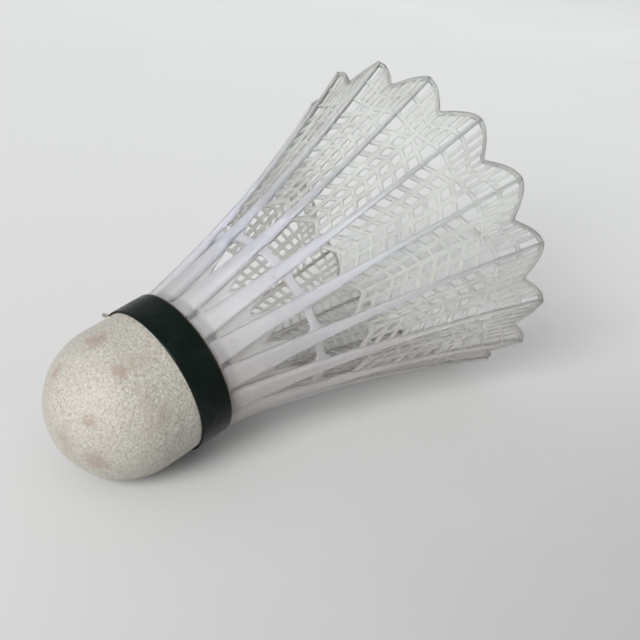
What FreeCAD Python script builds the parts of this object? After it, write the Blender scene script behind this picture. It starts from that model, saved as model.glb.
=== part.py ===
"""A moulded nylon badminton shuttlecock, lying on its side as it comes to rest after play.

Its four pieces are built upright on one axis, nose at the bottom, and then laid down together:
a cork core, the leather skin stretched over it, the band of tape round the joint, and the
one-piece nylon skirt whose plug is pressed into the cork. The skirt carries the skill: its
stems, cross webs, arched windows, lattice in flat gores and scalloped rim.
"""
import FreeCAD, Part
import math
import os
import Sketcher

SIZES = {
    # the base
    "nose_radius": 13.1,
    "skin_thickness": 0.5,
    "cork_length": 22.6,
    "bore_radius": 9.0,
    "bore_depth": 9.6,
    # the band of tape round the joint
    "band_width": 6.2,
    "band_thickness": 0.3,
    "band_on_flange": 2.5,
    # the skirt's plug, flange and collar
    "plug_length": 9.0,
    "plug_wall": 1.4,
    "flange_thickness": 2.6,
    "floor_thickness": 1.2,
    "collar_length": 3.2,
    # the skirt's outline, along the outside of its stems
    "skirt_length": 58.6,
    "neck_radius": 12.7,
    "mouth_radius": 32.5,
    "skirt_bow": 1.8,
    "sheet_thickness": 0.6,
    # the stems, which stand proud of the sheet and taper from neck to tip
    "feather_count": 16,
    "stem_width_neck": 3.5,
    "stem_width_waist": 1.8,
    "stem_width_tip": 1.0,
    "stem_height_neck": 1.2,
    "stem_height_tip": 0.5,
    # the openings between two stems, their heights measured from the flange
    "web_height": 16.9,
    "web_width": 1.7,
    "arch_height": 25.3,
    "arch_rise": 2.3,
    "short_rows": 2,
    "short_columns": 4,
    "long_rows": 2,
    "long_columns": 4,
    "long_cell": 6.4,
    "rib_width": 0.6,
    "rim_width": 0.9,
    "scallop_depth": 3.5,
    "scallop_bulge": 0.55,
    # fits
    "glue_gap": 0.05,
}
# The skirt's sheet and stems are given a section at each of these shares of their length.
STATIONS = (0.0, 0.31, 0.62, 1.0)
# The stems narrow quickly up to this share of their length, and slowly from there to the tip.
WAIST = 0.5
# Each side of a scallop runs to this many half gaps from mid-gore, past the fold under the stem,
# so that it meets the next gore's there and leaves no sliver beside the stem's tip.
SCALLOP_REACH = 1.12
# The nose of the cork, out of sight under the leather, is turned as this many short cones.
HIDDEN_CONES = 3

doc = FreeCAD.newDocument("shuttlecock")
sheet = doc.addObject("Spreadsheet::Sheet", "Sizes")
for row, (alias, value) in enumerate(SIZES.items(), start=1):
    sheet.set(f"A{row}", alias)
    sheet.set(f"B{row}", str(value))
    sheet.setAlias(f"B{row}", alias)
doc.recompute()


def size(alias):
    """The value of one driving dimension, read back from the sheet."""
    return float(sheet.get(alias))


# --- sketches ---------------------------------------------------------------------------------


def new_sketch(body, name, role):
    """An empty sketch on one of a body's own origin planes."""
    sketch = body.newObject("Sketcher::SketchObject", name)
    plane = next(f for f in body.Origin.OriginFeatures if f.Role == role)
    sketch.AttachmentSupport = (plane, [""])
    sketch.MapMode = "FlatFace"
    return sketch


def hold(sketch, edge, end, direction, expression):
    """Pins one coordinate of a sketch point to an expression, or to the axis where it is "0"."""
    if expression == "0":
        axis = -2 if direction == "DistanceX" else -1
        sketch.addConstraint(Sketcher.Constraint("PointOnObject", edge, end, axis))
    else:
        index = sketch.addConstraint(Sketcher.Constraint(direction, edge, end, 1.0))
        sketch.setExpression(f"Constraints[{index}]", expression)


def draw_outline(sketch, corners, dome_edge=None):
    """Draws a closed outline through corners, each a pair of expressions. Its edges are straight,
    apart from dome_edge, a quarter circle that starts on the axis and is centred on it."""
    count = len(corners)
    rough = [FreeCAD.Vector(10 - i, i, 0) for i in range(count)]
    for i in range(count):
        if i == dome_edge:
            circle = Part.Circle(FreeCAD.Vector(0, 10, 0), FreeCAD.Vector(0, 0, 1), 10)
            sketch.addGeometry(Part.ArcOfCircle(circle, -math.pi / 2, 0))
            hold(sketch, i, 3, "DistanceX", "0")
        else:
            sketch.addGeometry(Part.LineSegment(rough[i], rough[(i + 1) % count]))
    for i, (across, up) in enumerate(corners):
        sketch.addConstraint(Sketcher.Constraint("Coincident", i, 2, (i + 1) % count, 1))
        hold(sketch, i, 1, "DistanceX", across)
        hold(sketch, i, 1, "DistanceY", up)


def revolved_body(label, corners, dome_edge=None):
    """A body turned about its upright axis from an outline of (radius, height) corners."""
    body = doc.addObject("PartDesign::Body", label)
    sketch = new_sketch(body, f"{label}_profile", "XZ_Plane")
    draw_outline(sketch, corners, dome_edge)
    revolution = body.newObject("PartDesign::Revolution", f"{label}_revolution")
    revolution.Profile = (sketch, [""])
    revolution.ReferenceAxis = (sketch, ["V_Axis"])
    revolution.Angle = 360
    return body


# --- the base: cork, leather and tape ---------------------------------------------------------


def nose_cones(radius):
    """Corners from the axis up to the nose's centre for a face hidden under the leather, which
    is turned as a few short cones inside a ball of the given radius."""
    centre = "Sizes.nose_radius"
    angles = [90 * i / HIDDEN_CONES for i in range(1, HIDDEN_CONES)]
    between = [(f"({radius}) * sin({a} deg)", f"{centre} - ({radius}) * cos({a} deg)") for a in angles]
    return [("0", f"{centre} - ({radius})"), *between, (radius, centre)]


def make_cork_core():
    """The cork: a rounded nose on a short cylinder, with a blind bore for the skirt's plug."""
    radius = "Sizes.nose_radius - Sizes.skin_thickness - Sizes.glue_gap"
    rear = "Sizes.cork_length"
    bore_end = "Sizes.cork_length - Sizes.bore_depth"
    corners = [
        *nose_cones(radius),
        (radius, rear),
        ("Sizes.bore_radius", rear),
        ("Sizes.bore_radius", bore_end),
        ("0", bore_end),
    ]
    return revolved_body("cork_core", corners)


def make_leather_skin():
    """The leather: a ball-nosed cup over the cork, cut off flush with its rear face."""
    inside = "Sizes.nose_radius - Sizes.skin_thickness"
    cup = [
        ("0", "0"),
        ("Sizes.nose_radius", "Sizes.nose_radius"),
        ("Sizes.nose_radius", "Sizes.cork_length"),
        ("0", "Sizes.cork_length"),
    ]
    body = revolved_body("leather_skin", cup, dome_edge=0)
    hollow = new_sketch(body, "skin_inside", "XZ_Plane")
    draw_outline(hollow, [*nose_cones(inside), (inside, "Sizes.cork_length"), ("0", "Sizes.cork_length")])
    groove = body.newObject("PartDesign::Groove", "skin_hollow")
    groove.Profile = (hollow, [""])
    groove.ReferenceAxis = (hollow, ["V_Axis"])
    groove.Angle = 360
    return body


def make_tape_band():
    """The tape: one flat turn round the leather's rear edge and the skirt's flange."""
    inside = "Sizes.nose_radius + Sizes.glue_gap"
    outside = "Sizes.nose_radius + Sizes.glue_gap + Sizes.band_thickness"
    rear = "Sizes.cork_length + Sizes.band_on_flange"
    front = "Sizes.cork_length + Sizes.band_on_flange - Sizes.band_width"
    corners = [(inside, front), (outside, front), (outside, rear), (inside, rear)]
    return revolved_body("tape_band", corners)


# --- the nylon skirt --------------------------------------------------------------------------

FOOT = "(Sizes.cork_length + Sizes.flange_thickness)"


def along(share):
    """The height of the skirt's section at a share of its length, as an expression."""
    return f"{FOOT} + Sizes.skirt_length * {share}"


def stem_top(share):
    """The radius of the stems' outer faces there: a straight taper, bowed inward mid-way."""
    taper = f"Sizes.neck_radius + (Sizes.mouth_radius - Sizes.neck_radius) * {share}"
    return f"({taper} - 4 * Sizes.skirt_bow * {share} * (1 - {share}))"


def stem_height(share):
    """How far the stems stand out from the sheet there, which falls evenly to the tip."""
    return size("stem_height_neck") + (size("stem_height_tip") - size("stem_height_neck")) * share


def stem_width(share):
    """The width of the stems there: one straight taper up to the waist, and one from it."""
    if share < WAIST:
        start, end, part = "stem_width_neck", "stem_width_waist", share / WAIST
    else:
        start, end, part = "stem_width_waist", "stem_width_tip", (share - WAIST) / (1 - WAIST)
    return size(start) + (size(end) - size(start)) * part


def fold_radius(share):
    """The radius of the sheet's outer folds, which the stems stand on, at a share of its length."""
    taper = size("neck_radius") + (size("mouth_radius") - size("neck_radius")) * share
    return taper - 4 * size("skirt_bow") * share * (1 - share) - stem_height(share)


def make_gore_cone(label, inset):
    """A solid cone with one flat side for each gore and its folds under the stems, inset from
    the sheet's outside. A loft would make warped patches of these flat facets."""
    count = int(size("feather_count"))
    foot = size("cork_length") + size("flange_thickness")
    rings = []
    for share in STATIONS:
        radius = fold_radius(share) - inset
        height = foot + size("skirt_length") * share
        angles = [2 * math.pi * i / count for i in range(count)]
        rings.append([FreeCAD.Vector(radius * math.cos(a), radius * math.sin(a), height) for a in angles])
    faces = [Part.Face(Part.makePolygon(ring + ring[:1])) for ring in (rings[0], rings[-1])]
    for low, high in zip(rings, rings[1:]):
        for i in range(count):
            j = (i + 1) % count
            faces.append(Part.Face(Part.makePolygon([low[i], low[j], high[j], high[i], low[i]])))
    cone = doc.addObject("Part::Feature", label)
    cone.Shape = Part.Solid(Part.Shell(faces))
    return cone


def around_axis(label, shape, half_turns):
    """One copy of a shape for each feather, turned about the axis from the given number of
    half gores."""
    count = int(size("feather_count"))
    copies = []
    for i in range(count):
        copy = shape.copy()
        angle = 180 * (2 * i + half_turns) / count
        copy.rotate(FreeCAD.Vector(0, 0, 0), FreeCAD.Vector(0, 0, 1), angle)
        copies.append(copy)
    ring = doc.addObject("Part::Feature", label)
    ring.Shape = Part.makeCompound(copies)
    return ring


def make_stems():
    """The stems: one is padded from its side view, planed to its taper from both sides, and
    repeated round the axis."""
    body = doc.addObject("PartDesign::Body", "stem")
    side = new_sketch(body, "stem_side", "XZ_Plane")
    outside = [(stem_top(share), along(share)) for share in STATIONS]
    inside = []
    for share in reversed(STATIONS):
        height = f"(Sizes.stem_height_neck + (Sizes.stem_height_tip - Sizes.stem_height_neck) * {share})"
        inside.append((f"{stem_top(share)} - {height} - Sizes.sheet_thickness / 2", along(share)))
    draw_outline(side, outside + inside)
    stem = body.newObject("PartDesign::Pad", "stem_bar")
    stem.Profile = (side, [""])
    stem.Midplane = True
    stem.setExpression("Length", "Sizes.stem_width_neck")

    for name, sign in (("left_taper", "-"), ("right_taper", "")):
        wedge = new_sketch(body, name, "YZ_Plane")
        corners = [
            (f"{sign}Sizes.stem_width_neck / 2", along(0)),
            (f"{sign}Sizes.stem_width_neck / 2", along(1)),
            (f"{sign}Sizes.stem_width_tip / 2", along(1)),
            (f"{sign}Sizes.stem_width_waist / 2", along(WAIST)),
        ]
        draw_outline(wedge, corners)
        planed = body.newObject("PartDesign::Pocket", f"{name}_cut")
        planed.Profile = (wedge, [""])
        planed.Midplane = True
        planed.Type = "ThroughAll"
    doc.recompute()
    return around_axis("stems", body.Shape, 0)


def make_plug_and_flange():
    """The turned foot of the skirt: a tubular plug for the cork, a flange that seats on the
    cork's rear face, a floor and a short collar that the stems grow from."""
    plug = "Sizes.bore_radius - Sizes.glue_gap"
    plug_inside = f"{plug} - Sizes.plug_wall"
    plug_end = "Sizes.cork_length - Sizes.plug_length"
    floor_top = "Sizes.cork_length + Sizes.floor_thickness"
    collar_inside = "Sizes.neck_radius - Sizes.stem_height_neck - Sizes.sheet_thickness * 2"
    corners = [
        (plug_inside, plug_end),
        (plug, plug_end),
        (plug, "Sizes.cork_length"),
        ("Sizes.nose_radius", "Sizes.cork_length"),
        ("Sizes.nose_radius", "Sizes.cork_length + Sizes.band_on_flange"),
        ("Sizes.neck_radius", along(0)),
        (collar_inside, along(0)),
        (collar_inside, floor_top),
        (plug_inside, floor_top),
    ]
    return revolved_body("plug_and_flange", corners)


def make_skirt_openings():
    """A punch for every opening of the skirt: slots, arched windows, lattice cells and the
    notches of the rim. Each one is drawn in the plane across a gore and run out through it."""
    foot = size("cork_length") + size("flange_thickness")
    length = size("skirt_length")
    half_angle = math.pi / size("feather_count")
    rib = size("rib_width")

    def half_gap(height):
        """Half the clear width between two stems at a height over the flange."""
        share = height / length
        half_stem = stem_width(share) / 2
        return fold_radius(share) * math.sin(half_angle) - half_stem * math.cos(half_angle)

    def point(across, height):
        """A point of the drawing plane, across being a share of the gap between the stems."""
        return FreeCAD.Vector(0, across * half_gap(height), foot + height)

    def punch(edges):
        """The prism that an outline cuts as it is run outward through its own gore. It starts
        just inside the sheet, clear of the punches of the gores beside it."""
        wire = Part.Wire(edges)
        low = (wire.BoundBox.ZMin - foot) / length
        high = (wire.BoundBox.ZMax - foot) / length
        clear = size("sheet_thickness")
        start = (fold_radius(low) - 2 * clear) * math.cos(half_angle)
        end = fold_radius(high) + clear
        face = Part.Face(wire)
        face.translate(FreeCAD.Vector(start, 0, 0))
        return face.extrude(FreeCAD.Vector(end - start, 0, 0))

    def polygon(points):
        return Part.makePolygon(points + points[:1]).Edges

    slot = [
        point(-1, size("collar_length")),
        point(1, size("collar_length")),
        point(1, size("web_height")),
        point(-1, size("web_height")),
    ]
    sill = size("web_height") + size("web_width")
    window = [
        point(-1, sill),
        point(1, sill),
        point(1, size("arch_height")),
        point(0, size("arch_height") + size("arch_rise")),
        point(-1, size("arch_height")),
    ]
    punches = [punch(polygon(slot)), punch(polygon(window))]

    # The lattice's rows lie between lines given as (height at mid-gore, height at the stems).
    rim_line = (length - size("scallop_depth") - size("rim_width"), length - size("rim_width"))
    long_lines = [
        tuple(height - i * size("long_cell") for height in rim_line)
        for i in range(int(size("long_rows")) + 1)
    ]
    arch_line = (size("arch_height") + size("arch_rise"), size("arch_height"))
    short_rows = int(size("short_rows"))
    short_lines = [
        tuple(top + (low - top) * i / short_rows for top, low in zip(long_lines[-1], arch_line))
        for i in range(short_rows + 1)
    ]
    rows = [(pair, int(size("long_columns"))) for pair in zip(long_lines, long_lines[1:])]
    rows += [(pair, int(size("short_columns"))) for pair in zip(short_lines, short_lines[1:])]
    for (upper, lower), columns in rows:
        for column in range(columns):
            left = -1 + 2 * column / columns
            right = left + 2 / columns
            corners = []
            for line, shift, ends in (
                (lower, rib / 2, (left, right)),
                (upper, -rib / 2, (right, left)),
            ):
                for end in ends:
                    height = line[0] + (line[1] - line[0]) * abs(end) + shift
                    inward = rib / 2 if end == left else -rib / 2
                    corner = point(end, height)
                    corner.y += inward
                    corners.append(corner)
            punches.append(punch(polygon(corners)))

    # Two bulged sides meet in a sharp valley; the notch is closed well above the stems' tips.
    valley = point(0, length - size("scallop_depth"))
    notch = []
    for side in (-1, 1):
        tip = point(side * SCALLOP_REACH, length)
        middle = (valley + tip) / 2
        run = (tip - valley).normalize()
        middle += FreeCAD.Vector(0, -side * run.z, side * run.y) * size("scallop_bulge")
        above = tip + FreeCAD.Vector(0, 0, size("rim_width"))
        notch.append((Part.Arc(valley, middle, tip).toShape(), tip, above))
    (left_arc, left_tip, left_above), (right_arc, right_tip, right_above) = notch
    punches.append(
        punch(
            [
                left_arc,
                Part.makeLine(left_tip, left_above),
                Part.makeLine(left_above, right_above),
                Part.makeLine(right_above, right_tip),
                right_arc,
            ]
        )
    )

    return around_axis("skirt_openings", Part.makeCompound(punches), 1)


def make_nylon_skirt():
    """The moulding: the sheet with its openings cut, joined to its stems, plug and flange."""
    gore_sheet = doc.addObject("Part::Cut", "gore_sheet")
    gore_sheet.Base = make_gore_cone("gore_outside", 0)
    gore_sheet.Tool = make_gore_cone("gore_inside", size("sheet_thickness"))
    lattice = doc.addObject("Part::Cut", "lattice")
    lattice.Base = gore_sheet
    lattice.Tool = make_skirt_openings()
    skirt = doc.addObject("Part::MultiFuse", "nylon_skirt")
    skirt.Shapes = [lattice, make_stems(), make_plug_and_flange()]
    return skirt


# --- laying it down ---------------------------------------------------------------------------


def lying_placement():
    """Lays the upright pieces on the floor, on the ball of the nose and two neighbouring tips,
    with the mouth toward +X and the origin under the middle of the whole."""
    half_angle = math.pi / size("feather_count")
    ball = size("nose_radius")
    reach = size("cork_length") + size("flange_thickness") + size("skirt_length") - ball
    corner = size("stem_width_tip") / 2
    drop = size("mouth_radius") * math.cos(half_angle) + corner * math.sin(half_angle)
    tilt = math.atan2(drop, reach) - math.asin(ball / math.hypot(drop, reach))
    gore_down = FreeCAD.Rotation(FreeCAD.Vector(0, 0, 1), math.degrees(half_angle))
    turn = FreeCAD.Rotation(FreeCAD.Vector(0, 1, 0), 90 - math.degrees(tilt)) * gore_down
    front = -ball
    back = reach * math.cos(tilt) + drop * math.sin(tilt)
    centre = turn.multVec(FreeCAD.Vector(0, 0, ball))
    base = FreeCAD.Vector(-(front + back) / 2 - centre.x, 0, ball - centre.z)
    return FreeCAD.Placement(base, turn)


pieces = [make_cork_core(), make_leather_skin(), make_tape_band(), make_nylon_skirt()]
laid = lying_placement()
for piece in pieces:
    piece.Placement = laid
doc.recompute()

for item in doc.Objects:
    faults = [state for state in item.State if state in ("Invalid", "Error")]
    if faults:
        raise RuntimeError(f"{item.Label} failed: {faults}")
os.makedirs("parts", exist_ok=True)
for piece in pieces:
    shape = piece.Shape
    if shape.isNull() or not shape.isValid():
        raise RuntimeError(f"{piece.Label} has no valid shape")
    shape.exportStep(f"parts/{piece.Label}.step")
    box = shape.BoundBox
    print(
        f"{piece.Label}: {len(shape.Solids)} solid, {len(shape.Faces)} faces,"
        f" {shape.Volume:.0f} mm3, z from {box.ZMin:.3f} to {box.ZMax:.3f}"
    )
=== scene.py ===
"""The finished looks of a moulded nylon badminton shuttlecock that lies on its side.

The pieces follow in the order in which they are put together: the cork, its leather, the one-piece
nylon skirt and the tape round the joint. The table, the light and the camera come last.
"""
import math

import bmesh
import bpy
import mathutils
import numpy as np
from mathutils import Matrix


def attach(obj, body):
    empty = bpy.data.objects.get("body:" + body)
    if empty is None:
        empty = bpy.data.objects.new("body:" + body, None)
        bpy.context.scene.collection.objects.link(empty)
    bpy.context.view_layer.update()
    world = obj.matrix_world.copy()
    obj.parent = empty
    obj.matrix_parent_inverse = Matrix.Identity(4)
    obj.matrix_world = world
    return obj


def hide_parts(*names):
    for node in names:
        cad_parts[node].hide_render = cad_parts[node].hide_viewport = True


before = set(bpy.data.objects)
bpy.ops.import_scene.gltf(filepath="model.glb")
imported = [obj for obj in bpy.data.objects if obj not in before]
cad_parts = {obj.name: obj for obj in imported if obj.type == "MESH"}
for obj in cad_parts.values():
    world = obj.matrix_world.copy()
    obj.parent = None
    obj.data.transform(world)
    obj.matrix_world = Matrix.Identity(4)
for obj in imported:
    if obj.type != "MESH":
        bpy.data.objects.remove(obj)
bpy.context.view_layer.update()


# ==== The cork ====================================================================================
# The core is turned from cork that is pressed together out of small brown grains. Leather hides it
# all round, and only the end of its bore shows, at the bottom of the skirt's tube.


def add_node(tree, kind, inputs=None, **settings):
    """Adds one shader node. Each input is given by name or number, as a value or as the output
    of another node."""
    made = tree.nodes.new(kind)
    for name, value in settings.items():
        setattr(made, name, value)
    for key, value in (inputs or {}).items():
        if isinstance(value, bpy.types.NodeSocket):
            tree.links.new(value, made.inputs[key])
        else:
            made.inputs[key].default_value = value
    return made


def new_group(name, inputs, outputs):
    """An empty shader node group with named inputs and outputs, as (tree, inputs, outputs)."""
    tree = bpy.data.node_groups.new(name, "ShaderNodeTree")
    for socket, (kind, default) in inputs.items():
        made = tree.interface.new_socket(socket, in_out="INPUT", socket_type=kind)
        if default is not None:
            made.default_value = default
    for socket, kind in outputs.items():
        tree.interface.new_socket(socket, in_out="OUTPUT", socket_type=kind)
    return tree, tree.nodes.new("NodeGroupInput").outputs, tree.nodes.new("NodeGroupOutput").inputs


def make_patches_group():
    """Soft patches broken up by grain: a coarse noise plus about a third of one seven times
    finer, spread so that it is 0 below Low and 1 above High."""
    tree, given, result = new_group(
        "soft_patches",
        {
            "Vector": ("NodeSocketVector", None),
            "Scale": ("NodeSocketFloat", 100.0),
            "Low": ("NodeSocketFloat", 0.4),
            "High": ("NodeSocketFloat", 0.7),
        },
        {"Mask": "NodeSocketFloat"},
    )
    finer_by, share = 7.0, 0.35
    vector, scale = given["Vector"], given["Scale"]
    coarse = add_node(tree, "ShaderNodeTexNoise", {"Vector": vector, "Scale": scale})
    finer = add_node(tree, "ShaderNodeMath", {0: scale, 1: finer_by}, operation="MULTIPLY")
    fine = add_node(
        tree, "ShaderNodeTexNoise", {"Vector": vector, "Scale": finer.outputs[0], "Detail": 4.0}
    )
    broken = add_node(
        tree,
        "ShaderNodeMath",
        {0: fine.outputs[0], 1: share, 2: coarse.outputs[0]},
        operation="MULTIPLY_ADD",
    )
    centred = add_node(
        tree, "ShaderNodeMath", {0: broken.outputs[0], 1: share / 2}, operation="SUBTRACT"
    )
    spread = add_node(
        tree,
        "ShaderNodeMapRange",
        {"Value": centred.outputs[0], "From Min": given["Low"], "From Max": given["High"]},
        interpolation_type="SMOOTHSTEP",
    )
    tree.links.new(spread.outputs["Result"], result["Mask"])
    return tree


soft_patches = make_patches_group()


def add_patches(tree, vector, scale, low, high):
    """The mask of one use of the soft patches."""
    made = add_node(tree, "ShaderNodeGroup", node_tree=soft_patches)
    tree.links.new(vector, made.inputs["Vector"])
    for name, value in (("Scale", scale), ("Low", low), ("High", high)):
        made.inputs[name].default_value = value
    return made.outputs["Mask"]


def mix_colours(tree, mask, first, second):
    """The colour that goes from the first to the second as the mask goes from 0 to 1. Each is a
    linear red, green and blue, or the output of another node."""
    # The mix node repeats its socket names: 6 and 7 are its colour inputs, and 2 its output.
    inputs = {0: mask}
    for socket, colour in ((6, first), (7, second)):
        inputs[socket] = (*colour, 1.0) if isinstance(colour, tuple) else colour
    return add_node(tree, "ShaderNodeMix", inputs, data_type="RGBA").outputs[2]


def spread_range(tree, value, low, high, start, end):
    """A value run evenly from start to end as the given one goes from low to high."""
    inputs = {"Value": value, "From Min": low, "From Max": high, "To Min": start, "To Max": end}
    return add_node(tree, "ShaderNodeMapRange", inputs).outputs["Result"]


def new_material(name):
    """A material, its tree, its shader, and the coordinates of the piece that wears it."""
    material = bpy.data.materials.new(name)
    material.use_nodes = True
    tree = material.node_tree
    coordinates = add_node(tree, "ShaderNodeTexCoord").outputs["Object"]
    return material, tree, tree.nodes["Principled BSDF"], coordinates


def make_pressed_cork():
    """Brown cells of about a millimetre, each of its own shade, with dark sunk joints."""
    material, tree, shader, place = new_material("pressed_cork")
    cells = {"Vector": place, "Scale": 900.0}
    grains = add_node(tree, "ShaderNodeTexVoronoi", cells)
    joints = add_node(tree, "ShaderNodeTexVoronoi", cells, feature="DISTANCE_TO_EDGE")
    shade = add_node(tree, "ShaderNodeSeparateColor", {0: grains.outputs["Color"]}).outputs[0]
    dark_brown, light_brown = (0.30, 0.17, 0.08), (0.50, 0.33, 0.18)
    joint_brown = (0.10, 0.05, 0.02)
    colour = mix_colours(tree, shade, dark_brown, light_brown)
    joint = spread_range(tree, joints.outputs["Distance"], 0.0, 0.12, 1.0, 0.0)
    colour = mix_colours(tree, joint, colour, joint_brown)
    tree.links.new(colour, shader.inputs["Base Color"])
    tree.links.new(spread_range(tree, shade, 0.0, 1.0, 0.75, 0.95), shader.inputs["Roughness"])
    sunk = {"Height": joints.outputs["Distance"], "Distance": 0.0004}
    tree.links.new(add_node(tree, "ShaderNodeBump", sunk).outputs[0], shader.inputs["Normal"])
    return material


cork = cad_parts["cork_core"]
cork.data.materials.clear()
cork.data.materials.append(make_pressed_cork())


# ==== The leather =================================================================================
# The nose is covered with thin cream leather, stretched wet over the cork and glued. It has dried
# into fine wrinkles. Play has scuffed it, left pink-brown marks and torn up a shred near the tape.

# Here and below, heights and radii are millimetres on the upright shuttlecock, its nose at 0.
NOSE_RADIUS = 13.1
LEATHER_END = 22.6
LEATHER_THICKNESS = 0.5
SHRED_TURN = math.radians(151.0)
SHRED_HEIGHT = 16.9
SHRED_LIFT = 0.55
SHRED_REACH = 0.75
# Each mark is a turn in degrees, a height and a spread.
MARKS = ((177, 11.6, 2.2), (-148, 10.7, 1.6), (162, 4.8, 1.5), (-131, 3.5, 1.3), (-78, 2.3, 2.6))
# The part's source leans the axis by LEAN and stands the ball's centre at BALL_CENTRE, in metres.
LEAN = math.radians(14.6145)
BALL_CENTRE = np.array((-0.03169, 0.0, 0.0131))
ALONG = np.array((math.cos(LEAN), 0.0, math.sin(LEAN)))
SIDE = np.array((0.0, 1.0, 0.0))
DOWN = np.array((math.sin(LEAN), 0.0, -math.cos(LEAN)))


def lay_down(upright):
    """Lays upright points down on the table, from millimetres to metres: heights above the nose's
    own centre run along the leaning axis, x runs down from it, and y stays level."""
    x, y, z = (upright[..., i, None] for i in range(3))
    return BALL_CENTRE + 0.001 * (x * DOWN + y * SIDE + (z - NOSE_RADIUS) * ALONG)


def around(radius, turn, height):
    """Upright points at a radius, a turn in radians from straight down, and a height."""
    radius, turn, height = np.broadcast_arrays(radius, turn, height)
    return np.stack((radius * np.cos(turn), radius * np.sin(turn), height), axis=-1)


def ripples(points, shortest, longest, seed, waves=48):
    """A smooth random relief of about -2 to 2: the sum of plane waves that run in random
    directions, with wavelengths between the two given in millimetres."""
    random = np.random.default_rng(seed)
    direction = random.normal(size=(waves, 3))
    direction /= np.linalg.norm(direction, axis=1, keepdims=True)
    pace = 2 * math.pi / random.uniform(shortest, longest, waves)
    phase = random.uniform(0, 2 * math.pi, waves)
    total = np.sin(points @ (direction * pace[:, None]).T + phase).sum(axis=-1)
    return total * math.sqrt(2 / waves)


def grid_faces(across, along, wrap_across, wrap_along):
    """The four-cornered faces of a grid of points, closed round in a direction that wraps."""
    i, j = np.meshgrid(
        np.arange(across if wrap_across else across - 1),
        np.arange(along if wrap_along else along - 1),
        indexing="ij",
    )
    next_i, next_j = (i + 1) % across, (j + 1) % along
    corners = (i * along + j, next_i * along + j, next_i * along + next_j, i * along + next_j)
    return np.stack(corners, axis=-1).reshape(-1, 4)


def new_piece(name, parts, material):
    """Joins parts into one smooth object that stands at the origin, rides on the shuttlecock and
    has its doubled points merged. A part is upright points, one array of faces or a list of
    them, and, if it has one, the value of the attribute called whiteness at its points."""
    mesh = bpy.data.meshes.new(name)
    points, faces, whiteness, count = [], [], [], 0
    for part_points, part_faces, *given in parts:
        points.append(part_points.reshape(-1, 3))
        white = given[0] if given else 0.0
        whiteness.append(np.broadcast_to(white, part_points.shape[:-1]).ravel())
        for some in part_faces if isinstance(part_faces, list) else [part_faces]:
            faces += (some + count).tolist()
        count += len(points[-1])
    mesh.from_pydata(lay_down(np.concatenate(points)).tolist(), [], faces)
    attribute = mesh.attributes.new("whiteness", "FLOAT", "POINT")
    attribute.data.foreach_set("value", np.concatenate(whiteness))
    joined = bmesh.new()
    joined.from_mesh(mesh)
    bmesh.ops.remove_doubles(joined, verts=joined.verts, dist=1e-7)
    joined.to_mesh(mesh)
    joined.free()
    mesh.shade_smooth()
    mesh.materials.append(material)
    piece = bpy.data.objects.new(name, mesh)
    bpy.context.scene.collection.objects.link(piece)
    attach(piece, "root")
    return piece


def make_leather_cup():
    """A ball-nosed cup, as turns by steps along its profile: out from the pole over a quarter
    circle and a straight side, round the rear edge and back inside. Its outside is sunk by two
    sizes of wrinkle, each a ripple with its sign dropped and its depth capped, so that a sharp
    crest is left wherever the ripple crosses zero."""
    turns, bend_steps, side_steps, inner_steps = 320, 90, 42, 24
    bend = np.linspace(0, math.pi / 2, bend_steps)
    side = np.linspace(NOSE_RADIUS, LEATHER_END, side_steps)[1:]
    inner_radius = NOSE_RADIUS - LEATHER_THICKNESS
    inner_bend = np.linspace(math.pi / 2, 0, inner_steps)
    radius = np.concatenate(
        (
            NOSE_RADIUS * np.sin(bend),
            np.full(side.size, NOSE_RADIUS),
            (NOSE_RADIUS - 0.15, inner_radius),
            inner_radius * np.sin(inner_bend),
        )
    )
    height = np.concatenate(
        (
            NOSE_RADIUS * (1 - np.cos(bend)),
            side,
            (LEATHER_END + 0.05, LEATHER_END),
            NOSE_RADIUS - inner_radius * np.cos(inner_bend),
        )
    )
    turn = np.linspace(0, 2 * math.pi, turns, endpoint=False)[:, None]
    points = around(radius, turn, height)
    outside = np.arange(radius.size) < bend.size + side.size
    centre = np.array((0.0, 0.0, NOSE_RADIUS))
    outward = points - np.where(points[..., 2:] > NOSE_RADIUS, points * (0, 0, 1), centre)
    outward /= np.maximum(np.linalg.norm(outward, axis=-1, keepdims=True), 1e-9)
    least, fold_depth, crease_depth = 0.02, 0.035, 0.018
    folds = np.abs(ripples(points, 3.0, 9.0, seed=4))
    creases = np.abs(ripples(points, 1.0, 2.6, seed=7))
    sunk = least + fold_depth * np.minimum(folds, 1.5) + crease_depth * np.minimum(creases, 1.4)
    points = points - outward * (sunk * outside)[..., None]
    return points, grid_faces(turns, radius.size, True, False)


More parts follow.
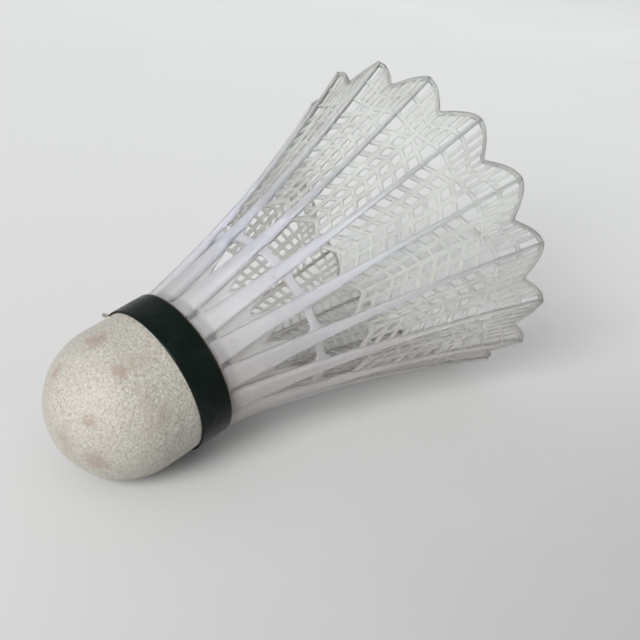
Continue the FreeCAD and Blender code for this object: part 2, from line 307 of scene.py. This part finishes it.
def sweep(path, out, half_width, half_depth, rounding, corner_steps, closed=False):
    """Bars carried along paths, an array of bars by stations by three. The section is a rectangle
    with rounded corners, square to the path: its depth points as near as it can along out, and
    its width lies across both. Bars that aren't closed get a flat end at each side."""
    bars, stations = path.shape[:2]
    if closed:
        ahead = np.roll(path, -1, axis=1) - np.roll(path, 1, axis=1)
    else:
        ahead = np.gradient(path, axis=1)
    ahead /= np.linalg.norm(ahead, axis=-1, keepdims=True)
    across = np.cross(ahead, out)
    across /= np.linalg.norm(across, axis=-1, keepdims=True)
    up = np.cross(across, ahead)
    half_width = np.broadcast_to(half_width, (bars, stations))[..., None]
    half_depth = np.broadcast_to(half_depth, (bars, stations))[..., None]
    corner = rounding * np.minimum(half_width, half_depth)
    steps = np.linspace(0, math.pi / 2, corner_steps)
    quarter = np.repeat(np.arange(4), corner_steps) * math.pi / 2
    angle = quarter + np.tile(steps, 4)
    width_sign = np.sign(np.cos(quarter + math.pi / 4))
    depth_sign = np.sign(np.sin(quarter + math.pi / 4))
    sideways = width_sign * (half_width - corner) + corner * np.cos(angle)
    raised = depth_sign * (half_depth - corner) + corner * np.sin(angle)
    points = path[:, :, None] + across[:, :, None] * sideways[..., None]
    points = points + up[:, :, None] * raised[..., None]
    ring = angle.size
    one_bar = grid_faces(stations, ring, closed, True)
    first = np.arange(bars)[:, None, None] * (stations * ring)
    faces = [(one_bar + first).reshape(-1, 4)]
    if not closed:
        ends = np.stack((np.arange(ring), (stations - 1) * ring + np.arange(ring)[::-1]))
        faces.append((ends + first).reshape(-1, ring))
    return points, faces


def make_torn_shred():
    """A shred a millimetre long that starts under the leather's face and lifts off it on a little
    more than half a turn of a tightening spiral, while it narrows to its tip."""
    along = np.linspace(0, 1, 12)
    curl = 1.25 * math.pi * along
    rise = SHRED_LIFT * (1 - np.cos(curl)) * (1 - 0.25 * along) - 0.15
    height = SHRED_HEIGHT + SHRED_REACH * np.sin(curl) * (1 - 0.4 * along)
    turn = SHRED_TURN + 0.03 * np.sin(2 * curl)
    path = around(NOSE_RADIUS + rise, turn, height)[None]
    outward = np.cross(np.gradient(path, axis=1), (0.35, -0.9, 0.1))
    half_width = 0.42 - 0.22 * along**2
    return sweep(path, outward, half_width, 0.06, 0.8, 3)


def make_worn_leather():
    """Cream leather: a fine pebbled grain with pale crests, grey-brown hollows, lighter flecks and
    darker pits, soft stains, and a few pink-brown marks where it was hit, each a ball of colour
    whose edge is ragged because noise pushes its points about."""
    material, tree, shader, place = new_material("worn_leather")
    pebbles = add_node(
        tree, "ShaderNodeTexVoronoi", {"Vector": place, "Scale": 2700.0}, feature="SMOOTH_F1"
    ).outputs["Distance"]
    grain = add_node(
        tree, "ShaderNodeTexNoise", {"Vector": place, "Scale": 2500.0, "Detail": 5.0}
    ).outputs[0]
    wrinkles = add_node(
        tree,
        "ShaderNodeTexNoise",
        {"Vector": place, "Scale": 420.0, "Detail": 3.0, "Distortion": 0.8},
    ).outputs[0]
    cream, grey_brown = (0.345, 0.325, 0.282), (0.225, 0.205, 0.172)
    pale, dark = (0.47, 0.45, 0.40), (0.13, 0.115, 0.095)
    stain, pink_brown = (0.27, 0.235, 0.195), (0.22, 0.145, 0.12)
    hollow = spread_range(tree, pebbles, 0.25, 0.75, 0.0, 0.7)
    colour = mix_colours(tree, hollow, cream, grey_brown)
    flecks = spread_range(tree, grain, 0.54, 0.66, 0.0, 0.5)
    colour = mix_colours(tree, flecks, colour, pale)
    pits = spread_range(tree, grain, 0.34, 0.42, 0.42, 0.0)
    colour = mix_colours(tree, pits, colour, dark)
    stains = add_patches(tree, place, 130.0, 0.56, 0.86)
    colour = mix_colours(tree, stains, colour, stain)
    stray = 0.0028
    ragged = add_node(
        tree, "ShaderNodeTexNoise", {"Vector": place, "Scale": 700.0, "Detail": 3.0}
    ).outputs["Color"]
    push = add_node(tree, "ShaderNodeVectorMath", {0: ragged, "Scale": stray}, operation="SCALE")
    pushed = add_node(
        tree, "ShaderNodeVectorMath", {0: place, 1: push.outputs[0]}, operation="SUBTRACT"
    ).outputs[0]
    for degrees, height, spread in MARKS:
        radius = math.sqrt(NOSE_RADIUS**2 - (NOSE_RADIUS - height) ** 2)
        middle = lay_down(around(radius, math.radians(degrees), height)) - stray / 2
        away = add_node(
            tree, "ShaderNodeVectorMath", {0: pushed, 1: tuple(middle)}, operation="DISTANCE"
        ).outputs["Value"]
        mark = spread_range(tree, away, 0.0004 * spread, 0.0011 * spread, 0.55, 0.0)
        colour = mix_colours(tree, mark, colour, pink_brown)
    tree.links.new(colour, shader.inputs["Base Color"])
    tree.links.new(spread_range(tree, grain, 0.3, 0.7, 0.55, 0.8), shader.inputs["Roughness"])
    creased = add_node(
        tree, "ShaderNodeBump", {"Height": wrinkles, "Strength": 0.5, "Distance": 0.0003}
    ).outputs[0]
    pebbled = add_node(
        tree,
        "ShaderNodeBump",
        {"Height": pebbles, "Strength": 0.4, "Distance": 0.00015, "Normal": creased},
        invert=True,
    ).outputs[0]
    tree.links.new(pebbled, shader.inputs["Normal"])
    shader.inputs["Sheen Weight"].default_value = 0.15
    return material


leather_parts = [make_leather_cup(), make_torn_shred()]
leather = new_piece("leather_cover", leather_parts, make_worn_leather())
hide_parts("leather_skin")


# ==== The nylon skirt =============================================================================
# The skirt is moulded in one shot of milky nylon. Its plug is glued into the cork's bore, and its
# sixteen stems stand on a short collar, with webs, ribs and a scalloped bead moulded between them.

STEMS = 16
GORE = 2 * math.pi / STEMS
PLUG_BOTTOM = 13.6
PLUG_BORE = 7.55
PLUG_RADIUS = 8.95
FLANGE_RADIUS = 13.1
COLLAR_BORE = 10.3
FLOOR_TOP = 23.8
COLLAR_TOP = 28.45
NECK = 25.2
MOUTH = 83.8
NECK_RADIUS = 12.7
MOUTH_RADIUS = 32.5
BOW = 1.8
SHEET = 0.6
NECK_RISE, MOUTH_RISE = 1.2, 0.35
NECK_WIDTH, MOUTH_WIDTH = 4.2, 0.8
WEB_HEIGHT = NECK + 17.75
NOTCH_BOTTOM = NECK + 9.5
NOTCH_DEPTH = 4.0
BEAD_RADIUS = 0.36
# How white the parts are, from 0 for the grey of thin nylon to 1: the stems run through three
# values at three shares of the skirt's length.
FOOT_WHITENESS = 0.45
SHEET_WHITENESS = 0.3
WEB_WHITENESS = 0.7
STEM_WHITENESS = ((0, 0.33, 1), (0.45, 1, 0))


def share_of_length(height):
    """How far up the skirt a height is, from 0 at the neck to 1 at the mouth."""
    return np.minimum((height - NECK) / (MOUTH - NECK), 1.0)


def stem_face(height):
    """The radius of the stems' outer faces: an even taper, less a parabola for the inward bow."""
    share = share_of_length(height)
    return NECK_RADIUS + (MOUTH_RADIUS - NECK_RADIUS) * share - 4 * BOW * share * (1 - share)


def stem_rise(height):
    """How far the stems stand proud of the sheet: it falls fast at first from neck to mouth."""
    return MOUTH_RISE + (NECK_RISE - MOUTH_RISE) * (1 - share_of_length(height)) ** 1.5


def stem_width(height):
    """The width of the stems, which nearly touch at the neck: it falls fast at first from there to
    the mouth."""
    return MOUTH_WIDTH + (NECK_WIDTH - MOUTH_WIDTH) * (1 - share_of_length(height)) ** 2.4


def on_gore(gore, across, height, depth):
    """Upright points on the flat sheet between two stems. Across runs from -1 to 1 over the clear
    gap from one stem to the next, and depth is measured in from the sheet's outer face."""
    gore, across, height, depth = np.broadcast_arrays(gore, across, height, depth)
    fold = stem_face(height) - stem_rise(height)
    clear = fold * math.sin(GORE / 2) - stem_width(height) / 2 * math.cos(GORE / 2)
    out = fold * math.cos(GORE / 2) - depth
    sideways = across * clear
    turn = gore * GORE
    x = out * np.cos(turn) - sideways * np.sin(turn)
    y = out * np.sin(turn) + sideways * np.cos(turn)
    return np.stack((x, y, height), axis=-1)


def gore_outward(gore, height):
    """The direction square to the flat sheet of a gore: level, tipped back by the skirt's flare."""
    step = 0.01
    low, high = (stem_face(level) - stem_rise(level) for level in (height, height + step))
    return around(1.0, gore * GORE, (low - high) / step)


def make_foot():
    """The turned foot, as turns by its profile: the tubular plug, the flange that seats on the
    cork, the floor ring and the collar, with every outer corner eased."""
    turns, ease = 160, 0.2
    profile = np.array(
        (
            (PLUG_BORE, PLUG_BOTTOM + ease),
            (PLUG_BORE + ease, PLUG_BOTTOM),
            (PLUG_RADIUS - ease, PLUG_BOTTOM),
            (PLUG_RADIUS, PLUG_BOTTOM + 0.3),
            (PLUG_RADIUS, LEATHER_END),
            (FLANGE_RADIUS - 0.15, LEATHER_END),
            (FLANGE_RADIUS, LEATHER_END + 0.15),
            (FLANGE_RADIUS, NECK - ease),
            (FLANGE_RADIUS - 0.5, NECK + 0.1),
            (COLLAR_BORE + 1.2, COLLAR_TOP - 0.15),
            (COLLAR_BORE + 0.9, COLLAR_TOP),
            (COLLAR_BORE + 0.6, COLLAR_TOP - 0.15),
            (COLLAR_BORE, NECK),
            (COLLAR_BORE, FLOOR_TOP + ease),
            (COLLAR_BORE - ease, FLOOR_TOP),
            (PLUG_BORE + 0.25, FLOOR_TOP),
            (PLUG_BORE, FLOOR_TOP - ease),
        )
    )
    turn = np.linspace(0, 2 * math.pi, turns, endpoint=False)[:, None]
    points = around(profile[:, 0], turn, profile[:, 1])
    return points, grid_faces(turns, len(profile), True, True), FOOT_WHITENESS


def make_stems():
    """Sixteen flat stems from the neck to the tips, which follow the bowed outer face, taper in
    width and depth, and have their long edges rounded. They are whitest a third of the way up."""
    height = np.linspace(NECK, MOUTH - 0.35, 48)
    turn = (np.arange(STEMS)[:, None] + 0.5) * GORE
    half_depth = (stem_rise(height) + SHEET / 2) / 2
    path = around(stem_face(height) - half_depth, turn, height)
    out = around(1.0, turn, np.zeros_like(height))
    whiteness = np.interp(share_of_length(height), *STEM_WHITENESS)[:, None]
    return *sweep(path, out, stem_width(height) / 2, half_depth, 0.75, 4), whiteness


def make_webs():
    """The wide cross web of each gore, a flat bar that flares into the stems at both ends."""
    gore = np.arange(STEMS)[:, None]
    across = np.linspace(-1.15, 1.15, 15)
    half_width = 0.72 + 0.75 * np.abs(across) ** 5
    half_depth = 0.36
    path = on_gore(gore, across, WEB_HEIGHT, SHEET / 2)
    out = gore_outward(gore, WEB_HEIGHT)
    return *sweep(path, out, half_width, half_depth, 0.6, 3), WEB_WHITENESS


def make_slab(front, back, solid):
    """Closed slabs, one for each gore, from their outer and inner surfaces, each an array of gores
    by columns by rows of points. Cells that aren't solid are left open, and walls close the sides
    of the slab and of its holes."""
    gores, columns, rows = front.shape[:3]
    index = np.arange(2 * columns * rows).reshape(2, columns, rows)
    cells = np.stack(
        (index[:, :-1, :-1], index[:, 1:, :-1], index[:, 1:, 1:], index[:, :-1, 1:]), axis=-1
    )
    faces = [cells[0][solid], cells[1][solid][:, ::-1]]
    for grid, mask, sign in ((index, solid, 1), (index.swapaxes(1, 2), solid.T, -1)):
        edge = np.stack(
            (grid[0, :, :-1], grid[0, :, 1:], grid[1, :, 1:], grid[1, :, :-1]), axis=-1
        )
        step = sign * np.diff(np.pad(mask.astype(int), ((1, 1), (0, 0))), axis=0)
        faces += [edge[step > 0], edge[step < 0][:, ::-1]]
    first = np.arange(gores)[:, None, None] * index.size
    return np.stack((front, back), axis=1), (np.concatenate(faces) + first).reshape(-1, 4)


def make_neck_sheets():
    """The thin sheet that closes the foot of each gore: a strip from stem to stem that rises to a
    round-bottomed notch, which is a parabola."""
    columns, rows = 8, 5
    across, share = np.meshgrid(
        np.linspace(-1.1, 1.1, columns + 1), np.linspace(0, 1, rows + 1), indexing="ij"
    )
    foot = NECK - 0.2
    height = foot + (NOTCH_BOTTOM + NOTCH_DEPTH * across**2 - foot) * share
    gore = np.arange(STEMS)[:, None, None]
    front, back = (on_gore(gore, across, height, depth) for depth in (0.05, SHEET - 0.1))
    return *make_slab(front, back, np.ones((columns, rows), dtype=bool)), SHEET_WHITENESS


def row_height(middle, edge, bend, across):
    """The height of a cross rib, from the middle of the gore to the stems: straight where the bend
    is 1, flat near the middle where it is less and near the stems where it is more. The turn in
    the middle is eased."""
    ease = 0.06
    away = (np.hypot(across, ease) - ease) / (math.hypot(1, ease) - ease)
    return middle + (edge - middle) * (1 - (1 - np.clip(away, 0, 1)) ** bend)


# Each line of the lattice is its height in the middle, its height at the stems, and its bend.
ARCH = np.array((NECK + 27.6, NECK + 25.3, 0.9))
LAST_CHEVRON = np.array((NECK + 48.6, NECK + 46.4, 1.0))
LONG_START = np.array((NECK + 49.6, NECK + 50.3, 1.3))
RIM = np.array((MOUTH - 3.8, MOUTH - 0.4, 1.7))
CHEVRON_ROWS = 8
LONG_ROWS = 2
LONG_COLUMNS = 8
ARCH_HALF_WIDTH = 0.5
CHEVRON_HALF_WIDTH = 0.4
LONG_HALF_WIDTH = 0.3
HOLE_EASE = 0.12
# Across the gore, these are shares of half the clear gap between two stems.
CHEVRON_RIB = 0.115
LONG_RIB = 0.072
EASE_ACROSS = 0.028
TUCKED = (1.03, 1.06)


def lattice_lines():
    """The cross ribs as rows of (middle, edge, bend), from the arch to the rim: chevrons that
    point at the mouth like the arch, then lines that dip in the middle like the rim."""
    chevrons = np.linspace(ARCH, LAST_CHEVRON, CHEVRON_ROWS + 1)
    return np.concatenate((chevrons, np.linspace(LONG_START, RIM, LONG_ROWS + 1)))


def make_lattice():
    """The lattice of each gore: one sheet, pierced by a row of holes between each cross rib and
    the next. The chevrons' holes are twice as wide as the narrow ones below the rim, so that
    every second rib runs up the whole sheet. Each cross rib has four levels and each long rib
    five positions, the outer ones at the holes' rims and the inner ones where their ease ends,
    and the sheet's sides are tucked into the stems."""
    lines = lattice_lines()
    line = np.repeat(lines, 4, axis=0)
    long_line = line[:, 0] >= LONG_START[0]
    half_width = np.where(long_line, LONG_HALF_WIDTH, CHEVRON_HALF_WIDTH)
    half_width[:4] = ARCH_HALF_WIDTH
    level = np.tile((-1, -1, 1, 1), len(lines)) * half_width
    level += np.tile((0, 1, -1, 0), len(lines)) * HOLE_EASE
    ribs = LONG_COLUMNS - 1
    rib = np.repeat(-1 + 2 * np.arange(1, LONG_COLUMNS) / LONG_COLUMNS, 5)[:, None]
    half_rib = np.where(long_line, LONG_RIB, CHEVRON_RIB)
    offset = np.tile((-1, -1, 0, 1, 1), ribs)[:, None] * half_rib
    offset += np.tile((0, 1, 0, -1, 0), ribs)[:, None] * EASE_ACROSS
    tucked = np.broadcast_to(np.array(TUCKED)[:, None], (2, len(line)))
    across = np.concatenate((-tucked[::-1], rib + offset, tucked))
    height = row_height(*line.T, across) + level
    column = np.arange(len(across) - 1)[:, None]
    between = np.arange(level.size - 1) % 4 == 3
    holes = np.where(long_line[:-1], column % 5 == 1, (column + 9) % 10 < 6) & between
    touched = np.pad(holes, 1)
    touched = touched[1:, 1:] | touched[1:, :-1] | touched[:-1, 1:] | touched[:-1, :-1]
    gore = np.arange(STEMS)[:, None, None]
    front = on_gore(gore, across, height, HOLE_EASE * touched)
    back = on_gore(gore, across, height, SHEET - HOLE_EASE * touched)
    return make_slab(front, back, ~holes)


def make_rim_bead():
    """The bead that closes the rim: a rounded bar along the scallops, which moves outward a
    little where it runs over the blunt tips."""
    steps = 24
    gore = np.repeat(np.arange(STEMS), steps)
    across = np.tile(np.linspace(-1.1, 1.1, steps, endpoint=False), STEMS)
    height = row_height(*RIM, across)
    depth = SHEET / 2 - 0.2 * np.abs(across) ** 6 / 1.8
    path = on_gore(gore, across, height, depth)[None]
    out = gore_outward(gore, height)[None]
    return sweep(path, out, BEAD_RADIUS, BEAD_RADIUS, 0.9, 4, closed=True)


def make_milky_nylon():
    """Milky nylon that lets light a little way in: whiter and greyer clouds from the mould's flow,
    whitest in the stems and webs, with painted warm shade on the side nearest the table and some
    grime."""
    material, tree, shader, place = new_material("milky_nylon")
    centred = add_node(
        tree, "ShaderNodeMapping", {"Vector": place, "Location": tuple(-BALL_CENTRE)}
    ).outputs[0]
    milky, grey = (0.74, 0.75, 0.715), (0.65, 0.65, 0.63)
    bluish_white, warm_table_shade = (0.83, 0.83, 0.90), (0.77, 0.735, 0.70)
    grime_brown = (0.50, 0.46, 0.42)
    clouds = add_patches(tree, centred, 120.0, 0.40, 0.66)
    colour = mix_colours(tree, clouds, milky, grey)
    whiteness = add_node(tree, "ShaderNodeAttribute", attribute_name="whiteness").outputs["Fac"]
    colour = mix_colours(tree, whiteness, colour, bluish_white)
    # Painted warm shade: the nylon is painted warmer and darker near the table, where the table's
    # shade and warm bounce fall on it.
    above_table = add_node(tree, "ShaderNodeSeparateXYZ", {0: place}).outputs["Z"]
    painted_table_shade = spread_range(tree, above_table, 0.014, 0.036, 0.75, 0.0)
    colour = mix_colours(tree, painted_table_shade, colour, warm_table_shade)
    grime = add_patches(tree, centred, 260.0, 0.66, 0.95)
    colour = mix_colours(tree, grime, colour, grime_brown)
    tree.links.new(colour, shader.inputs["Base Color"])
    relief = add_node(
        tree, "ShaderNodeTexNoise", {"Vector": centred, "Scale": 900.0, "Detail": 4.0}
    ).outputs[0]
    tree.links.new(spread_range(tree, relief, 0.3, 0.7, 0.45, 0.65), shader.inputs["Roughness"])
    scuffed = {"Height": relief, "Strength": 0.35, "Distance": 0.0002}
    tree.links.new(add_node(tree, "ShaderNodeBump", scuffed).outputs[0], shader.inputs["Normal"])
    shader.inputs["IOR"].default_value = 1.12
    shader.inputs["Transmission Weight"].default_value = 0.8
    shader.inputs["Subsurface Weight"].default_value = 0.8
    shader.inputs["Subsurface Radius"].default_value = (1.0, 0.95, 0.9)
    shader.inputs["Subsurface Scale"].default_value = 0.0015
    return material


skirt_parts = [
    make_foot(),
    make_stems(),
    make_neck_sheets(),
    make_webs(),
    make_lattice(),
    make_rim_bead(),
]
skirt = new_piece("nylon_moulding", skirt_parts, make_milky_nylon())
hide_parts("nylon_skirt")


# ==== The tape ====================================================================================
# One turn of very dark green plastic tape covers the joint between leather and nylon. Its end
# laps over its start on the far side, its edges are cut clean, and thumbs have rubbed it dull.

TAPE_FRONT = 18.9
TAPE_REAR = 25.1
TAPE_INSIDE = 13.15
TAPE_THICKNESS = 0.3
LAP_TURN = math.radians(60)
LAP_STEP = 0.12
LAP_FADE = 0.5


def make_tape_turn():
    """The band, as turns by its profile: a flat ring with eased edges. Its outside has shallow
    ripples, and rises by a step where the end laps over, then sinks back over half a radian."""
    turns, ease, ripple_depth = 360, 0.08, 0.015
    outside = TAPE_INSIDE + TAPE_THICKNESS
    across = np.linspace(TAPE_FRONT + ease, TAPE_REAR - ease, 24)
    edge = outside - 0.1
    flat = np.full(across.size, outside)
    radius = np.concatenate(((TAPE_INSIDE, edge), flat, (edge, TAPE_INSIDE)))
    height = np.concatenate(((TAPE_FRONT, TAPE_FRONT), across, (TAPE_REAR, TAPE_REAR)))
    turn = np.linspace(0, 2 * math.pi, turns, endpoint=False)[:, None]
    points = around(radius, turn, height)
    past_lap = np.mod(turn - LAP_TURN, 2 * math.pi)
    lap = LAP_STEP * np.clip(1 - past_lap / LAP_FADE, 0, 1)
    relief = lap - ripple_depth * np.abs(ripples(points, 2.5, 9.0, seed=21))
    outer = radius > TAPE_INSIDE
    points = around(radius + relief * outer, turn, height)
    return points, grid_faces(turns, radius.size, True, True)


def make_dark_tape():
    """Near-black green plastic: rubbed patches a shade lighter and duller, fine scratches that
    run round the band, and dried brown glue along its rear edge."""
    material, tree, shader, place = new_material("dark_green_tape")
    centred = add_node(
        tree, "ShaderNodeVectorMath", {0: place, 1: tuple(BALL_CENTRE)}, operation="SUBTRACT"
    ).outputs[0]
    height = add_node(
        tree, "ShaderNodeVectorMath", {0: centred, 1: tuple(ALONG)}, operation="DOT_PRODUCT"
    ).outputs["Value"]
    dark_green, dull_green = (0.0020, 0.0050, 0.0035), (0.0045, 0.0085, 0.0065)
    scratch_green, glue_brown = (0.015, 0.024, 0.020), (0.16, 0.11, 0.08)
    rubbed = add_patches(tree, place, 160.0, 0.45, 0.75)
    colour = mix_colours(tree, rubbed, dark_green, dull_green)
    scratches = add_node(
        tree, "ShaderNodeTexNoise", {"Vector": height, "Scale": 6000.0, "Detail": 2.0}
    ).outputs[0]
    streak = spread_range(tree, scratches, 0.62, 0.75, 0.0, 0.25)
    colour = mix_colours(tree, streak, colour, scratch_green)
    edge = (TAPE_REAR - NOSE_RADIUS) / 1000
    glue = spread_range(tree, height, edge - 0.0003, edge - 0.0001, 0.0, 0.5)
    colour = mix_colours(tree, glue, colour, glue_brown)
    tree.links.new(colour, shader.inputs["Base Color"])
    tree.links.new(spread_range(tree, rubbed, 0.0, 1.0, 0.26, 0.42), shader.inputs["Roughness"])
    scratched = {"Height": scratches, "Strength": 0.15, "Distance": 0.0001}
    tree.links.new(add_node(tree, "ShaderNodeBump", scratched).outputs[0], shader.inputs["Normal"])
    shader.inputs["Specular IOR Level"].default_value = 0.1
    return material


tape = new_piece("tape_turn", [make_tape_turn()], make_dark_tape())
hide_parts("tape_band")


# ==== The table ===================================================================================
# The shuttlecock lies on a smooth table top of pale grey-white matt board. It is one flat sheet
# that reaches 12 m each way, so that from low down it ends near the horizon.


def make_table_top():
    """Pale matt board with painted light and shade: painted paler toward the room's bright far end,
    one soft round painted shade in front of the shuttlecock, and hardly visible clouds."""
    material, tree, shader, place = new_material("pale_board")
    toward_far_end = add_node(
        tree, "ShaderNodeVectorMath", {0: place, 1: (0.87, 0.49, 0.0)}, operation="DOT_PRODUCT"
    ).outputs["Value"]
    grey_white, painted_far_light = (0.57, 0.57, 0.56), (0.92, 0.92, 0.915)
    shade_grey, cloud_grey = (0.37, 0.37, 0.36), (0.60, 0.60, 0.59)
    # Painted light: the board is painted paler toward the far end, for the brighter light there.
    far = spread_range(tree, toward_far_end, -0.01, 0.45, 0.0, 1.0)
    colour = mix_colours(tree, far, grey_white, painted_far_light)
    # Painted shade: a soft round pool of darker grey in front of the shuttlecock, standing for a
    # shadow cast from out of view.
    from_shade = add_node(
        tree, "ShaderNodeVectorMath", {0: place, 1: (0.0, -0.155, 0.0)}, operation="DISTANCE"
    ).outputs["Value"]
    shade = spread_range(tree, from_shade, 0.05, 0.18, 1.0, 0.0)
    colour = mix_colours(tree, shade, colour, shade_grey)
    clouds = add_patches(tree, place, 12.0, 0.3, 2.5)
    colour = mix_colours(tree, clouds, colour, cloud_grey)
    tree.links.new(colour, shader.inputs["Base Color"])
    shader.inputs["Roughness"].default_value = 0.9
    shader.inputs["Specular IOR Level"].default_value = 0.2
    return material


reach = 12.0
corners = [(-reach, -reach, 0), (reach, -reach, 0), (reach, reach, 0), (-reach, reach, 0)]
table_mesh = bpy.data.meshes.new("table_top")
table_mesh.from_pydata(corners, [], [(0, 1, 2, 3)])
table_mesh.materials.append(make_table_top())
table = bpy.data.objects.new("table_top", table_mesh)
bpy.context.scene.collection.objects.link(table)


# ==== The light and the camera ====================================================================
# Soft daylight comes from one window, low and to the left, and from the pale room all round. The
# camera stands close by, beyond the nose and to one side, and looks down on the shuttlecock.

light = bpy.data.lights.new("window", "AREA")
light.shape = "SQUARE"
light.size = 0.65
light.energy = 25.2
window = bpy.data.objects.new("window", light)
window.location = (-1.10, -0.36, 0.70)
toward_shuttlecock = mathutils.Vector((0.0, 0.0, 0.02)) - window.location
window.rotation_euler = toward_shuttlecock.to_track_quat("-Z", "Y").to_euler()
bpy.context.scene.collection.objects.link(window)

world = bpy.data.worlds.new("pale_room")
world.use_nodes = True
world.node_tree.nodes["Background"].inputs["Color"].default_value = (0.86, 0.88, 0.90, 1)
world.node_tree.nodes["Background"].inputs["Strength"].default_value = 0.62
bpy.context.scene.world = world

lens = bpy.data.cameras.new("camera")
lens.lens = 58.6
lens.clip_start = 0.01
camera = bpy.data.objects.new("camera", lens)
camera.location = (-0.11353, -0.12569, 0.10370)
camera.rotation_euler = tuple(math.radians(turn) for turn in (63.474, -4.210, -42.955))
bpy.context.scene.collection.objects.link(camera)
bpy.context.scene.camera = camera
bpy.context.scene.view_settings.view_transform = "Standard"
